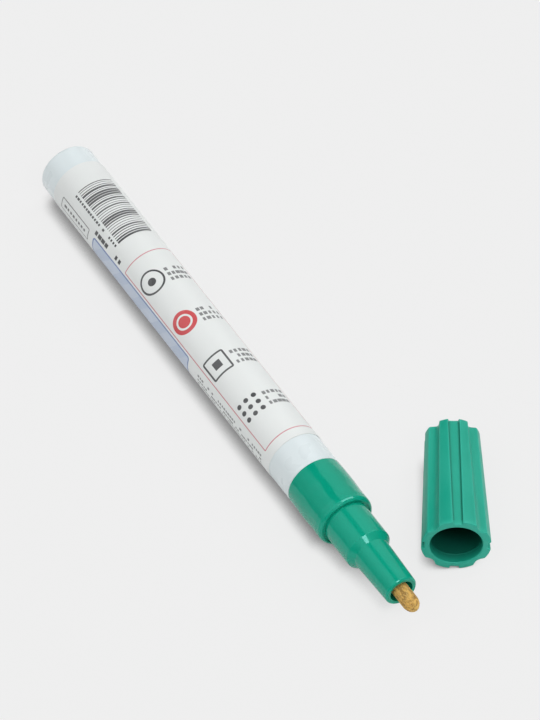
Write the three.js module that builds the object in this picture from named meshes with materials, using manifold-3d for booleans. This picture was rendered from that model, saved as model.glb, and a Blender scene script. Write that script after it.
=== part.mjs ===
// A fine-tip paint marker lying on a table with its ribbed cap taken off beside it, in millimetres, +Z up.
// The marker points its nib along +X. The origin is the centre of the whole object's footprint.
// Along the marker, every place is measured from the rear end of the barrel.
import * as THREE from "three";
import { mergeVertices } from "three/addons/utils/BufferGeometryUtils.js";
import Module from "manifold-3d";

const wasm = await Module();
wasm.setup();

// Fits
const seatingGap = 0.05; // between faces that rest on each other
const pressGap = 0.04; // around a piece that is pushed in tight
const slideGap = 0.08; // around a piece that slides

// Facets of round pieces
const turnedSides = 64;
const smallSides = 40;
const holeSides = 12;
const cornerSteps = 4;
const collarSteps = 14;
const smallCornerSteps = 3;
const bulletSteps = 9;
const wireSides = 5;
const coilStepsPerTurn = 8;
const ballSides = 20;
const ballRings = 14;

// Barrel: a drawn metal tube with a closed rear end
const barrelDiameter = 12.2;
const barrelLength = 101;
const barrelWall = 0.4;
const barrelRearCorner = 0.9;
const barrelLipRound = 0.28;

// Label: a printed film wrapped round the barrel
const labelFilm = 0.08;
const labelFromRear = 5.7;
const labelFromMouth = 7.5;

// Tip holder: a plug inside the barrel, a collar, a step and a nose, each narrower than the last
const plugLength = 8;
const plugLead = 0.5;
const plugWall = 1.05;
const collarProud = 0.04;
const collarSwell = 0.13;
const collarSwellFromRear = 4.6;
const collarWaist = 0.03;
const collarWaistFromRear = 9;
const collarLip = 0.07;
const collarLipFromRear = 10.9;
const collarLength = 12.45;
const collarRimRound = 0.7;
const collarRecessDepth = 0.2;
const collarRecessWidth = 0.42;
const stepDiameter = 9.86;
const stepLength = 9.75;
const stepChamferLength = 1.35;
const noseRearDiameter = 7.7;
const noseRimDiameter = 6.95;
const noseLength = 11.45;
const noseRimRound = 0.45;
const noseBore = 5;
const noseBoreChamfer = 0.12;

// Nib: a bonded fibre rod with a bullet tip
const nibDiameter = 3.6;
const nibExposed = 5.65;
const nibLength = 27.7;
const nibBulletLength = 2.7;
const nibTravel = 1.5;
const nibGuideLength = 2.4;
const nibGuideOverlap = 0.5;
const guideRibs = 6;
const guideRibWidth = 0.6;
const guideRibsFromGuide = 4;
const guideRibsFromRim = 2.9;
const nibRoomSpare = 0.6;

// Valve: a seat ring, a rod with a conical head, a spring and the case that holds them in the holder
const seatThickness = 1.6;
const seatHoleDiameter = 3;
const seatConeDepth = 0.7;
const seatConeWiden = 0.5;
const rodStemDiameter = 2.3;
const rodTailDiameter = 1.7;
const rodTailOverhang = 0.8;
const rodHeadLength = 2.1;
const rodHeadOverCone = 0.4;
const rodFlangeThickness = 1.2;
const rodFlangeOverSpring = 0.4;
const caseLength = 14.2;
const caseWall = 0.8;
const caseRearWall = 1;
const caseFlowHoles = 4;
const caseFlowHoleDiameter = 1.3;
const springWire = 0.5;
const springRoom = 1.1;
const springTurns = 6.5;

// Mixing ball: loose in the paint
const ballDiameter = 7;
const ballFromRear = 60.5;

// Cap: tapered, with four grooved pairs of ribs and a hollow between each two pairs
const capFitGap = 0.32;
const capRimWall = 1.75;
const capEndWall = 1.3;
const capSideWall = 1.3;
const capRimChamfer = 0.18;
const capEndRound = 0.7;
const capBoreChamfer = 0.2;
const capBeadDepth = 2;
const capBeadHeight = 0.1;
const capBeadLength = 0.6;
const capStepSpare = 0.6;
const capQuarters = 4;
const grooveDepth = 0.7;
const grooveHalfAtMouth = 0.95;
const grooveHalfAtEnd = 1.12;
const ribEdgeAtMouth = THREE.MathUtils.degToRad(32.4);
const ribEdgeAtEnd = THREE.MathUtils.degToRad(30.5);
const hollowDepthAtMouth = 0.7;
const hollowDepthAtEnd = 1.05;
const hollowPoints = 7;
const ribTopPoints = 3;
const capRings = 4;

// Cap liner: the soft inner cup that seals round the nose
const linerWall = 0.5;
const linerFloor = 0.5;
const linerSealLength = 6.6;
const linerNibRoom = 0.75;
const nibTipSpare = 0.3;

// Where the cap lies: its mouth's place along and beside the marker, its axis's turn from the marker's
// and its roll about its own axis
const capMouthFromRear = 131.7;
const capMouthBeside = 14.5;
const capHeading = THREE.MathUtils.degToRad(29.45);
const capRoll = THREE.MathUtils.degToRad(8.5);

// Places along the marker, from the rear end
const barrelRadius = barrelDiameter / 2;
const barrelBoreRadius = barrelRadius - barrelWall;
const collarRearAt = barrelLength + seatingGap;
const collarFrontAt = collarRearAt + collarLength;
const stepFrontAt = collarFrontAt + stepLength;
const rimAt = stepFrontAt + noseLength;
const nibTipAt = rimAt + nibExposed;
const nibRearAt = nibTipAt - nibLength;
const guideAt = nibRearAt + nibGuideOverlap;
const seatShoulderAt = nibRearAt - nibTravel - nibRoomSpare;
const seatFrontAt = seatShoulderAt - seatingGap;
const seatRearAt = seatFrontAt - seatThickness;
const caseFrontAt = seatRearAt - seatingGap;
const caseRearAt = caseFrontAt - caseLength;
const plugRearAt = barrelLength - plugLength;

// Radii that follow from their neighbours
const plugRadius = barrelBoreRadius - pressGap;
const chamberRadius = plugRadius - plugWall;
const collarRearRadius = barrelRadius + collarProud;
const collarLipRadius = barrelRadius + collarLip;
const stepRadius = stepDiameter / 2;
const noseRearRadius = noseRearDiameter / 2;
const noseRimRadius = noseRimDiameter / 2;
const noseBoreRadius = noseBore / 2;
const nibRadius = nibDiameter / 2;
const guideRadius = nibRadius + slideGap;
const nibRoomRadius = (chamberRadius + guideRadius) / 2;
const caseRadius = chamberRadius - pressGap;
const caseBoreRadius = caseRadius - caseWall;
const springRadius = caseBoreRadius - springRoom - springWire / 2;
const rodFlangeRadius = springRadius + springWire / 2 + rodFlangeOverSpring;

// Points of a quarter of a round corner, from angle a to angle b about a centre, as [radius, place]
function roundCorner(radius, place, size, a, b, steps) {
  return Array.from({ length: steps + 1 }, (_, i) => {
    const angle = a + ((b - a) * i) / steps;
    return [radius + size * Math.cos(angle), place + size * Math.sin(angle)];
  });
}

// A closed mesh with only shared positions, as a solid that can be cut and joined
function solidFrom(geometry) {
  const bare = geometry.index ? geometry.toNonIndexed() : geometry.clone();
  bare.deleteAttribute("normal");
  bare.deleteAttribute("uv");
  const merged = mergeVertices(bare, 1e-4);
  return new wasm.Manifold(
    new wasm.Mesh({
      numProp: 3,
      vertProperties: merged.attributes.position.array,
      triVerts: new Uint32Array(merged.index.array),
    }),
  );
}

function geometryFrom(solid) {
  const mesh = solid.getMesh();
  const geometry = new THREE.BufferGeometry();
  geometry.setAttribute("position", new THREE.BufferAttribute(mesh.vertProperties, 3));
  geometry.setIndex(new THREE.BufferAttribute(mesh.triVerts, 1));
  geometry.computeVertexNormals();
  return geometry;
}

// Twice the signed area between a profile and the axis, which tells which way round it runs
function profileTurn(profile) {
  return profile.reduce((sum, [r, t], i) => {
    const [nextR, nextT] = profile[(i + 1) % profile.length];
    return sum + r * nextT - nextR * t;
  }, 0);
}

// A piece turned from a profile of [radius, place] points, with a flat side underneath
function turned(profile, sides = turnedSides) {
  const onAxis = profile[0][0] === 0 && profile.at(-1)[0] === 0;
  const loop = onAxis ? profile : [...profile, profile[0]];
  const ordered = profileTurn(loop) > 0 ? loop : [...loop].reverse();
  const points = ordered.map(([r, t]) => new THREE.Vector2(r, t));
  return new THREE.LatheGeometry(points, sides, Math.PI / sides);
}

function piece(name, geometry, color, roughness, metalness = 0) {
  const material = new THREE.MeshStandardMaterial({ color, roughness, metalness });
  const mesh = new THREE.Mesh(geometry, material);
  mesh.name = name;
  return mesh;
}

function barrel() {
  const rear = barrelRearCorner;
  const lip = barrelLipRound;
  const innerRear = barrelWall;
  const inner = barrelRearCorner - barrelWall;
  const profile = [
    [0, 0],
    ...roundCorner(barrelRadius - rear, rear, rear, -Math.PI / 2, 0, cornerSteps),
    ...roundCorner(barrelRadius - lip, barrelLength - lip, lip, 0, Math.PI / 2, smallCornerSteps),
    [barrelBoreRadius, barrelLength],
    ...roundCorner(barrelBoreRadius - inner, innerRear + inner, inner, 0, -Math.PI / 2, smallCornerSteps),
    [0, innerRear],
  ];
  return piece("barrel", turned(profile), 0xe4eaec, 0.4, 0.1);
}

function labelFilmRing() {
  const inner = barrelRadius + seatingGap / 2;
  const outer = inner + labelFilm;
  const rear = labelFromRear;
  const front = barrelLength - labelFromMouth;
  const profile = [
    [outer, rear],
    [outer, front],
    [inner, front],
    [inner, rear],
  ];
  return piece("label_film", turned(profile), 0xeceeed, 0.45);
}

function noseRadiusAt(place) {
  const share = (place - stepFrontAt) / noseLength;
  return THREE.MathUtils.lerp(noseRearRadius, noseRimRadius, share);
}

function guideRib(index) {
  const rear = guideAt + nibGuideLength + guideRibsFromGuide;
  const front = rimAt - guideRibsFromRim;
  const inner = guideRadius;
  const outer = noseBoreRadius + (noseRimRadius - noseBoreRadius) / 2;
  const rib = new THREE.BoxGeometry(guideRibWidth, front - rear, outer - inner);
  rib.translate(0, (front + rear) / 2, (outer + inner) / 2);
  rib.rotateY((index * 2 * Math.PI) / guideRibs);
  return solidFrom(rib);
}

// The collar's side: a slight swell, a slight waist and a lip at its front rim
function collarSide() {
  const side = new THREE.SplineCurve([
    new THREE.Vector2(collarRearRadius, collarRearAt + barrelLipRound),
    new THREE.Vector2(barrelRadius + collarSwell, collarRearAt + collarSwellFromRear),
    new THREE.Vector2(barrelRadius + collarWaist, collarRearAt + collarWaistFromRear),
    new THREE.Vector2(collarLipRadius, collarRearAt + collarLipFromRear),
  ]);
  return side.getPoints(collarSteps).map((point) => point.toArray());
}

function tipHolder() {
  const rimRound = collarRimRound;
  const noseRound = noseRimRound;
  const recessFloor = collarFrontAt - collarRecessDepth;
  const recessOuter = stepRadius + collarRecessWidth;
  const profile = [
    [plugRadius - plugLead, plugRearAt],
    [plugRadius, plugRearAt + plugLead],
    [plugRadius, collarRearAt],
    [collarRearRadius - barrelLipRound, collarRearAt],
    ...collarSide(),
    ...roundCorner(collarLipRadius - rimRound, collarFrontAt - rimRound, rimRound, 0, Math.PI / 2, cornerSteps),
    [recessOuter, collarFrontAt],
    [recessOuter, recessFloor],
    [stepRadius, recessFloor],
    [stepRadius, stepFrontAt - stepChamferLength],
    [noseRearRadius, stepFrontAt],
    ...roundCorner(noseRimRadius - noseRound, rimAt - noseRound, noseRound, 0, Math.PI / 2, smallCornerSteps),
    [noseBoreRadius + noseBoreChamfer, rimAt],
    [noseBoreRadius, rimAt - noseBoreChamfer],
    [noseBoreRadius, guideAt + nibGuideLength],
    [guideRadius, guideAt + nibGuideLength],
    [guideRadius, guideAt],
    [nibRoomRadius, guideAt],
    [nibRoomRadius, seatShoulderAt],
    [chamberRadius, seatShoulderAt],
    [chamberRadius, plugRearAt],
  ];
  let solid = solidFrom(turned(profile));
  for (let i = 0; i < guideRibs; i += 1) solid = solid.add(guideRib(i));
  return piece("tip_holder", geometryFrom(solid), 0x1f9b7f, 0.25);
}

function nib() {
  const bullet = Array.from({ length: bulletSteps + 1 }, (_, i) => {
    const angle = (i * Math.PI) / 2 / bulletSteps;
    const place = nibTipAt - nibBulletLength + nibBulletLength * Math.sin(angle);
    return [i === bulletSteps ? 0 : nibRadius * Math.cos(angle), place];
  });
  const profile = [[0, nibRearAt], [nibRadius, nibRearAt], ...bullet];
  return piece("nib", turned(profile, smallSides), 0xc8a055, 0.9);
}

function valveSeat() {
  const hole = seatHoleDiameter / 2;
  const outer = chamberRadius - pressGap;
  const profile = [
    [outer, seatRearAt],
    [outer, seatFrontAt],
    [hole, seatFrontAt],
    [hole, seatRearAt + seatConeDepth],
    [hole + seatConeWiden, seatRearAt],
  ];
  return piece("valve_seat", turned(profile, smallSides), 0x2b2b2b, 0.8);
}

function valveRod() {
  const hole = seatHoleDiameter / 2 - slideGap;
  const slope = seatConeWiden / seatConeDepth;
  const coneFront = seatRearAt + seatConeDepth;
  const headRadius = hole + seatConeWiden + rodHeadOverCone;
  const coneRear = seatRearAt - rodHeadOverCone / slope;
  const flangeFront = coneRear - rodHeadLength;
  const flangeRear = flangeFront - rodFlangeThickness;
  const stem = rodStemDiameter / 2;
  const tail = rodTailDiameter / 2;
  const profile = [
    [0, caseRearAt - rodTailOverhang],
    [tail, caseRearAt - rodTailOverhang],
    [tail, flangeRear],
    [rodFlangeRadius, flangeRear],
    [rodFlangeRadius, flangeFront],
    [headRadius, flangeFront],
    [headRadius, coneRear],
    [hole, coneFront],
    [stem, coneFront],
    [stem, nibRearAt - seatingGap],
    [0, nibRearAt - seatingGap],
  ];
  const rod = piece("valve_rod", turned(profile, smallSides), 0xf0efe8, 0.5);
  rod.userData.springSeat = flangeRear;
  return rod;
}

function valveCase() {
  const tailHole = rodTailDiameter / 2 + slideGap;
  const profile = [
    [caseRadius, caseRearAt],
    [caseRadius, caseFrontAt],
    [caseBoreRadius, caseFrontAt],
    [caseBoreRadius, caseRearAt + caseRearWall],
    [tailHole, caseRearAt + caseRearWall],
    [tailHole, caseRearAt],
  ];
  const flowRadius = (caseBoreRadius + tailHole) / 2;
  let solid = solidFrom(turned(profile, smallSides));
  for (let i = 0; i < caseFlowHoles; i += 1) {
    const drill = new THREE.CylinderGeometry(
      caseFlowHoleDiameter / 2,
      caseFlowHoleDiameter / 2,
      caseRearWall * 2,
      holeSides,
    );
    drill.translate(flowRadius, caseRearAt + caseRearWall / 2, 0);
    drill.rotateY((i * 2 * Math.PI) / caseFlowHoles);
    solid = solid.subtract(solidFrom(drill));
  }
  return piece("valve_case", geometryFrom(solid), 0xe9e6da, 0.5);
}

// The centre line of a coil spring that winds about the marker's axis
class SpringLine extends THREE.Curve {
  constructor(rear, front) {
    super();
    this.rear = rear;
    this.front = front;
  }

  getPoint(share) {
    const angle = share * springTurns * 2 * Math.PI;
    const place = THREE.MathUtils.lerp(this.rear, this.front, share);
    return new THREE.Vector3(springRadius * Math.sin(angle), place, springRadius * Math.cos(angle));
  }
}

function valveSpring(front) {
  const wire = springWire / 2;
  const rearEnd = caseRearAt + caseRearWall + seatingGap + wire;
  const frontEnd = front - seatingGap - wire;
  const section = new THREE.Shape();
  for (let i = 0; i < wireSides; i += 1) {
    const angle = (i * 2 * Math.PI) / wireSides;
    const x = wire * Math.cos(angle);
    const y = wire * Math.sin(angle);
    if (i === 0) section.moveTo(x, y);
    else section.lineTo(x, y);
  }
  section.closePath();
  const coil = new THREE.ExtrudeGeometry(section, {
    steps: springTurns * coilStepsPerTurn,
    extrudePath: new SpringLine(rearEnd, frontEnd),
    curveSegments: 1,
  });
  return piece("valve_spring", geometryFrom(solidFrom(coil)), 0xb8bcc0, 0.3, 1);
}

function mixingBall() {
  const ball = new THREE.SphereGeometry(ballDiameter / 2, ballSides, ballRings);
  const mesh = piece("mixing_ball", ball, 0xc4c8cc, 0.2, 1);
  mesh.position.set(0, ballFromRear, -(barrelBoreRadius - ballDiameter / 2 - seatingGap));
  return mesh;
}

// Cap sizes, along its axis from the mouth
const nibReach = nibTipAt - collarFrontAt;
const capBoreDepth = nibReach + nibTipSpare + linerFloor + seatingGap;
const capLength = capBoreDepth + capEndWall;
const capBoreRadius = stepRadius + capFitGap;
const capMouthRadius = capBoreRadius + capRimWall;
const linerMouthAt = rimAt - collarFrontAt - linerSealLength;
const linerShoulderAt = rimAt - collarFrontAt + nibTipSpare;
const linerSealRadius = noseRadiusAt(collarFrontAt + linerMouthAt) + slideGap;
const linerRadius = linerSealRadius + linerWall;
const linerNibRadius = nibRadius + linerNibRoom;
const linerTipRadius = linerNibRadius + linerWall;
const capEndRadius = linerRadius + capSideWall;

// The cap's outline at a place along it: each quarter has a groove's corner, a rib, a hollow and a rib
function capOutline(place, inset) {
  const share = place / capLength;
  const radius = THREE.MathUtils.lerp(capMouthRadius, capEndRadius, share);
  const grooveHalf = THREE.MathUtils.lerp(grooveHalfAtMouth, grooveHalfAtEnd, share);
  const ribEdge = THREE.MathUtils.lerp(ribEdgeAtMouth, ribEdgeAtEnd, share);
  const hollowDepth = THREE.MathUtils.lerp(hollowDepthAtMouth, hollowDepthAtEnd, share);
  const quarter = (2 * Math.PI) / capQuarters;
  const floor = radius - grooveDepth;
  const grooveEdge = Math.asin(grooveHalf / radius);
  const floorEdge = Math.atan2(grooveHalf, floor);
  const floorRadius = Math.hypot(grooveHalf, floor);
  const polar = [[floorEdge, floorRadius]];
  for (let i = 0; i <= ribTopPoints; i += 1) {
    polar.push([THREE.MathUtils.lerp(grooveEdge, ribEdge, i / ribTopPoints), radius]);
  }
  for (let i = 1; i <= hollowPoints; i += 1) {
    const across = (2 * i) / (hollowPoints + 1) - 1;
    const angle = quarter / 2 + across * (quarter / 2 - ribEdge);
    polar.push([angle, radius - hollowDepth * (1 - across * across)]);
  }
  for (let i = 0; i <= ribTopPoints; i += 1) {
    polar.push([quarter - THREE.MathUtils.lerp(ribEdge, grooveEdge, i / ribTopPoints), radius]);
  }
  polar.push([quarter - floorEdge, floorRadius]);
  const scale = (radius - inset) / radius;
  const points = [];
  for (let q = 0; q < capQuarters; q += 1) {
    for (const [angle, r] of polar) {
      const turn = q * quarter + angle;
      points.push(new THREE.Vector3(r * scale * Math.sin(turn), place, r * scale * Math.cos(turn)));
    }
  }
  return points;
}

// A closed skin over a row of outlines, with a flat face at each end
function skinOver(outlines) {
  const count = outlines[0].length;
  const positions = outlines.flat();
  const rearCentre = positions.length;
  positions.push(new THREE.Vector3(0, outlines[0][0].y, 0));
  positions.push(new THREE.Vector3(0, outlines.at(-1)[0].y, 0));
  const faces = [];
  const lastRing = (outlines.length - 1) * count;
  for (let i = 0; i < count; i += 1) {
    const next = (i + 1) % count;
    faces.push(rearCentre, next, i);
    faces.push(rearCentre + 1, lastRing + i, lastRing + next);
    for (let ring = 0; ring < outlines.length - 1; ring += 1) {
      const a = ring * count;
      const b = a + count;
      faces.push(a + i, a + next, b + i);
      faces.push(a + next, b + next, b + i);
    }
  }
  const geometry = new THREE.BufferGeometry().setFromPoints(positions);
  geometry.setIndex(faces);
  return geometry;
}

function capBore() {
  const stepBoreEnd = stepLength + capStepSpare;
  const midRadius = linerRadius + pressGap;
  const tipRadius = linerTipRadius + pressGap;
  const coneEnd = stepBoreEnd + (capBoreRadius - midRadius);
  const beadMiddle = capBeadDepth + capBeadLength / 2;
  const profile = [
    [0, -capBoreChamfer],
    [capBoreRadius + 2 * capBoreChamfer, -capBoreChamfer],
    [capBoreRadius, capBoreChamfer],
    [capBoreRadius, capBeadDepth],
    [capBoreRadius - capBeadHeight, beadMiddle],
    [capBoreRadius, capBeadDepth + capBeadLength],
    [capBoreRadius, stepBoreEnd],
    [midRadius, coneEnd],
    [midRadius, linerShoulderAt + linerFloor + seatingGap],
    [tipRadius, linerShoulderAt + linerFloor + seatingGap],
    [tipRadius, capBoreDepth],
    [0, capBoreDepth],
  ];
  return solidFrom(turned(profile));
}

function cap() {
  const straight = capLength - capEndRound;
  const outlines = [capOutline(0, capRimChamfer)];
  for (let i = 0; i <= capRings; i += 1) {
    outlines.push(capOutline(THREE.MathUtils.lerp(capRimChamfer, straight, i / capRings), 0));
  }
  for (let i = 1; i <= smallCornerSteps; i += 1) {
    const angle = (i * Math.PI) / 2 / smallCornerSteps;
    const place = straight + capEndRound * Math.sin(angle);
    outlines.push(capOutline(place, capEndRound * (1 - Math.cos(angle))));
  }
  const solid = solidFrom(skinOver(outlines)).subtract(capBore());
  return piece("cap", geometryFrom(solid), 0x34a68a, 0.4);
}

function capLiner() {
  const end = capBoreDepth - seatingGap;
  const profile = [
    [linerSealRadius + linerWall / 2, linerMouthAt],
    [linerRadius, linerMouthAt + linerWall / 2],
    [linerRadius, linerShoulderAt + linerFloor],
    [linerTipRadius, linerShoulderAt + linerFloor],
    [linerTipRadius, end],
    [0, end],
    [0, end - linerFloor],
    [linerNibRadius, end - linerFloor],
    [linerNibRadius, linerShoulderAt],
    [linerSealRadius, linerShoulderAt],
    [linerSealRadius, linerMouthAt],
  ];
  const start = profile.findIndex(([r]) => r === 0);
  const ordered = [...profile.slice(start + 1), ...profile.slice(0, start + 1)];
  return piece("cap_liner", turned(ordered, smallSides), 0x1f5a4a, 0.5);
}

// How high the rolled cap's axis is, at a place along it, over the ribs' lowest point there
function capRestAt(place) {
  const up = new THREE.Vector3(-Math.sin(capRoll), 0, Math.cos(capRoll));
  return Math.max(...capOutline(place, 0).map((point) => -point.dot(up)));
}

// The cap lies along one rib, so its taper tips its mouth up
function capLying() {
  const restAtMouth = capRestAt(0);
  const tip = Math.atan((restAtMouth - capRestAt(capLength)) / capLength);
  const rolled = new THREE.Group();
  rolled.add(cap(), capLiner());
  rolled.rotation.y = capRoll;
  const tipped = new THREE.Group();
  tipped.add(rolled);
  tipped.rotation.x = -tip;
  const lying = new THREE.Group();
  lying.add(tipped);
  lying.rotation.z = Math.PI / 2 - capHeading;
  lying.position.set(capMouthFromRear, capMouthBeside, restAtMouth * Math.cos(tip));
  return lying;
}

// The marker is built standing along +Y and laid along +X
function markerLying() {
  const rod = valveRod();
  const lying = new THREE.Group();
  lying.add(barrel(), labelFilmRing(), tipHolder(), nib());
  lying.add(valveSeat(), rod, valveSpring(rod.userData.springSeat), valveCase(), mixingBall());
  lying.rotation.z = -Math.PI / 2;
  lying.position.z = (barrelRadius + collarSwell) * Math.cos(Math.PI / turnedSides);
  return lying;
}

const object = new THREE.Group();
object.add(markerLying(), capLying());
object.updateMatrixWorld(true);
const extent = new THREE.Box3().setFromObject(object, true);
const middle = extent.getCenter(new THREE.Vector3());
object.position.set(-middle.x, -middle.y, -extent.min.z);

const paintMarker = new THREE.Group();
paintMarker.add(object);

export default paintMarker;
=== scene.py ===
from math import asin, cos, pi, radians, sin, tan, tau

import bpy
from mathutils import Matrix, Vector, noise


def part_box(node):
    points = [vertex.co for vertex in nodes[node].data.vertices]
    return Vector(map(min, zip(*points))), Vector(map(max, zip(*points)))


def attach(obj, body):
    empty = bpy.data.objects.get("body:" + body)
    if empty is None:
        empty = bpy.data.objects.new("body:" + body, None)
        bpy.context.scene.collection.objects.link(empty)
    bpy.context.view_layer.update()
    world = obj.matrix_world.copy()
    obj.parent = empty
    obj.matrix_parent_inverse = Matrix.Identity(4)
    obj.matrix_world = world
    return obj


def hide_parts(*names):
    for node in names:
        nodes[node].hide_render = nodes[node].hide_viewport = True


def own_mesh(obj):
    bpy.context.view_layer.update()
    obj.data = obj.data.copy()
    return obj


# A paint marker with its cap off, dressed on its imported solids. Profiles are in millimetres
# along each turned piece's own axis, and every mesh ends up in metres in the part's frame.
# Places along the marker are measured from half a millimetre in front of its rear end.
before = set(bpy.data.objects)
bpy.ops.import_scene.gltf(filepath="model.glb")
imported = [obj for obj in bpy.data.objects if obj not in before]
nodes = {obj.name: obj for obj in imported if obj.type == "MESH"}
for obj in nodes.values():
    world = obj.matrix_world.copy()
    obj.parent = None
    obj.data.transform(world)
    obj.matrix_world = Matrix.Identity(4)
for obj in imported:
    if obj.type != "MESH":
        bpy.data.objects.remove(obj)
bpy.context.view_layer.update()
mm = 0.001

barrelLow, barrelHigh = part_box("barrel")
startX = barrelLow.x + 0.5 * mm
axisY = (barrelLow.y + barrelHigh.y) / 2
axisZ = (barrelLow.z + barrelHigh.z) / 2
markerTurn = Matrix.Translation((startX, axisY, axisZ)) @ Matrix.Rotation(-pi / 2, 4, "Z")

# Where the cap lies: the middle of its mouth in metres, and its turns on the table
capPlace = {
    "mouth": (0.061525, 0.0009335, 0.0069943),
    "heading": radians(60.55),
    "tip": radians(2.8357),
    "roll": radians(8.5),
}
capTurn = (
    Matrix.Translation(capPlace["mouth"])
    @ Matrix.Rotation(capPlace["heading"], 4, "Z")
    @ Matrix.Rotation(-capPlace["tip"], 4, "X")
    @ Matrix.Rotation(capPlace["roll"], 4, "Y")
)

# Camera, at the photograph's viewing angle
view = {
    "fromStart": (1.00869, -0.39097, 1.2324375),
    "azimuth": radians(66.9811),
    "elevation": radians(50.342),
    "roll": radians(-9.66),
    "lens": 396.754,
}


def newObject(name, data):
    made = bpy.data.objects.new(name, data)
    bpy.context.scene.collection.objects.link(made)
    return made


def towards(azimuth, elevation):
    level = cos(elevation)
    return Vector((level * cos(azimuth), level * sin(azimuth), sin(elevation)))


def addCamera():
    data = bpy.data.cameras.new("studioCamera")
    data.lens = view["lens"]
    data.sensor_width = 36
    data.clip_start = 0.05
    data.clip_end = 50
    camera = newObject("studioCamera", data)
    back = towards(view["azimuth"] - pi / 2, view["elevation"])
    level = towards(view["azimuth"], 0)
    above = back.cross(level)
    right = cos(view["roll"]) * level + sin(view["roll"]) * above
    turn = Matrix((right, back.cross(right), back)).transposed().to_4x4()
    place = Vector((startX, axisY, axisZ)) + Vector(view["fromStart"])
    camera.matrix_world = Matrix.Translation(place) @ turn
    bpy.context.scene.camera = camera


addCamera()
print("camera is up")


# Node helpers. A value for an input is a number, a colour without its alpha, or another socket.
def setInput(tree, socket, value):
    if isinstance(value, bpy.types.NodeSocket):
        tree.links.new(value, socket)
    elif socket.type == "RGBA":
        socket.default_value = (*value, 1)
    else:
        socket.default_value = value


def fill(tree, node, inputs):
    for name, value in inputs.items():
        setInput(tree, node.inputs[name], value)


def addNode(tree, kind, inputs=None, **settings):
    node = tree.nodes.new(kind)
    for name, value in settings.items():
        setattr(node, name, value)
    fill(tree, node, inputs or {})
    return node


def result(tree, kind, inputs=None, **settings):
    return addNode(tree, kind, inputs, **settings).outputs[0]


def calc(tree, operation, *values):
    return result(tree, "ShaderNodeMath", dict(enumerate(values)), operation=operation)


def times(tree, a, b):
    return calc(tree, "MULTIPLY", a, b)


def minus(tree, a, b):
    return calc(tree, "SUBTRACT", a, b)


def awayFrom(tree, value, middle):
    return calc(tree, "ABSOLUTE", minus(tree, value, middle))


def combine(tree, **axes):
    return result(tree, "ShaderNodeCombineXYZ", axes)


def soften(tree, value, low, high, toLow=0.0, toHigh=1.0):
    inputs = {"Value": value, "From Min": low, "From Max": high, "To Min": toLow, "To Max": toHigh}
    return result(tree, "ShaderNodeMapRange", inputs, interpolation_type="SMOOTHSTEP")


# One up to a limit and nothing beyond it, with a soft step between
def within(tree, value, limit, before, after):
    return soften(tree, value, minus(tree, limit, before), calc(tree, "ADD", limit, after), 1.0, 0.0)


def mixColour(tree, factor, under, over):
    inputs = {0: factor, 6: under, 7: over}
    return addNode(tree, "ShaderNodeMix", inputs, data_type="RGBA", clamp_factor=True).outputs[2]


def grainNoise(tree, vector, scale, detail, roughness=0.5):
    inputs = {"Vector": vector, "Scale": scale, "Detail": detail, "Roughness": roughness}
    return addNode(tree, "ShaderNodeTexNoise", inputs).outputs["Fac"]


def bumpFrom(tree, height, distance, under=None):
    inputs = {"Strength": 1.0, "Distance": distance, "Height": height}
    if under is not None:
        inputs["Normal"] = under
    return result(tree, "ShaderNodeBump", inputs)


def placeGroup(tree, group, inputs):
    return addNode(tree, "ShaderNodeGroup", inputs, node_tree=group).outputs


# A node group from its inputs, each with a first value or a kind of socket, and from a function
# that gives the group's outputs by name
def makeGroup(name, inputs, build, kind="Shader"):
    tree = bpy.data.node_groups.new(name, kind + "NodeTree")
    for label, value in inputs.items():
        named = isinstance(value, str)
        socketType = "NodeSocket" + (value if named else "Float")
        socket = tree.interface.new_socket(label, in_out="INPUT", socket_type=socketType)
        if not named:
            socket.default_value = value
    made = build(tree, addNode(tree, "NodeGroupInput").outputs)
    for label in made:
        socketType = "NodeSocketFloat" if kind == "Shader" else "NodeSocketGeometry"
        tree.interface.new_socket(label, in_out="OUTPUT", socket_type=socketType)
    addNode(tree, "NodeGroupOutput", made)
    return tree


# Where a point lies on a turned piece: millimetres along its axis and millimetres round it
def placeOnTurnedPiece(tree, given):
    split = addNode(tree, "ShaderNodeSeparateXYZ", {0: given["Vector"]}).outputs
    angle = calc(tree, "ARCTAN2", split["X"], split["Z"])
    around = times(tree, angle, given["Radius"])
    return {"Along": times(tree, split["Y"], 1000.0), "Round": around, "Angle": angle}


# Moulded plastic: slow waves that bend reflections, a fine skin, and faint speckle
def mouldedSkin(tree, given):
    def scaled(scale, detail):
        return grainNoise(tree, given["Vector"], given[scale], detail)

    return {
        "Waves": scaled("Wave Scale", 1.0),
        "Skin": scaled("Skin Scale", 3.0),
        "Speckle": soften(tree, scaled("Speckle Scale", 2.0), 0.66, 0.78),
        "Tone": soften(tree, scaled("Wave Scale", 3.0), 0.3, 0.7),
    }


def hypotenuse(tree, a, b):
    return calc(tree, "SQRT", calc(tree, "MULTIPLY_ADD", a, a, times(tree, b, b)))


# A line's mask, from the distance to its middle
def lineMask(tree, given, away):
    return within(tree, away, times(tree, given["Line"], 0.5), given["Edge"], given["Edge"])


# A rounded box printed on the wrapped film: its fill and its outline
def printedBox(tree, given):
    def past(way):
        away = awayFrom(tree, given[way], given["Middle " + way])
        return minus(tree, away, minus(tree, given["Half " + way], given["Corner"]))

    pasts = (past("Along"), past("Round"))
    outs = (calc(tree, "MAXIMUM", distance, 0.0) for distance in pasts)
    inside = calc(tree, "MINIMUM", calc(tree, "MAXIMUM", *pasts), 0.0)
    distance = calc(tree, "ADD", hypotenuse(tree, *outs), inside)
    distance = minus(tree, distance, given["Corner"])
    return {
        "Fill": within(tree, distance, 0.0, given["Edge"], given["Edge"]),
        "Outline": lineMask(tree, given, calc(tree, "ABSOLUTE", distance)),
    }


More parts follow.
